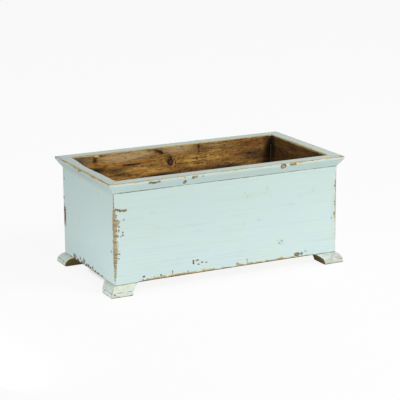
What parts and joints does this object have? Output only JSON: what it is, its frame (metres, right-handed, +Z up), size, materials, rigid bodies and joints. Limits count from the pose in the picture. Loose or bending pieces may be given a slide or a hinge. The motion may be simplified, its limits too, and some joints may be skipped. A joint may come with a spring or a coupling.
{
  "type": "wooden planter box",
  "caption": "Rectangular wooden planter box with a mitred bevelled rim, moulded corner feet and a slatted floor, in worn pale paint over brown stain.",
  "frame": {"origin": "middle of the box's footprint, on the surface that the feet stand on", "axes": "+X along the long side, towards the right when facing the front; -Y out of the front; +Z up"},
  "size_m": [0.643, 0.351, 0.2755],
  "materials": {
    "painted_wood": "worn matt paint, bare and stained wood at the edges and inside",
    "stained_wood": "brown stain, dry",
    "fastener_steel": "plain, dull"
  },
  "bodies": {
    "root": {"front_wall": "painted_wood", "back_wall": "painted_wood", "left_end_wall": "painted_wood", "right_end_wall": "painted_wood", "front_cap": "painted_wood", "back_cap": "painted_wood", "left_cap": "painted_wood", "right_cap": "painted_wood", "front_left_foot": "painted_wood", "front_right_foot": "painted_wood", "back_left_foot": "painted_wood", "back_right_foot": "painted_wood", "front_floor_board": "stained_wood", "middle_floor_board": "stained_wood", "back_floor_board": "stained_wood", "left_bearer": "stained_wood", "middle_bearer": "stained_wood", "right_bearer": "stained_wood", "corner_brads": "fastener_steel", "cap_brads": "fastener_steel", "floor_brads": "fastener_steel", "bearer_brads": "fastener_steel", "foot_screws": "fastener_steel"}
  },
  "joints": []
}
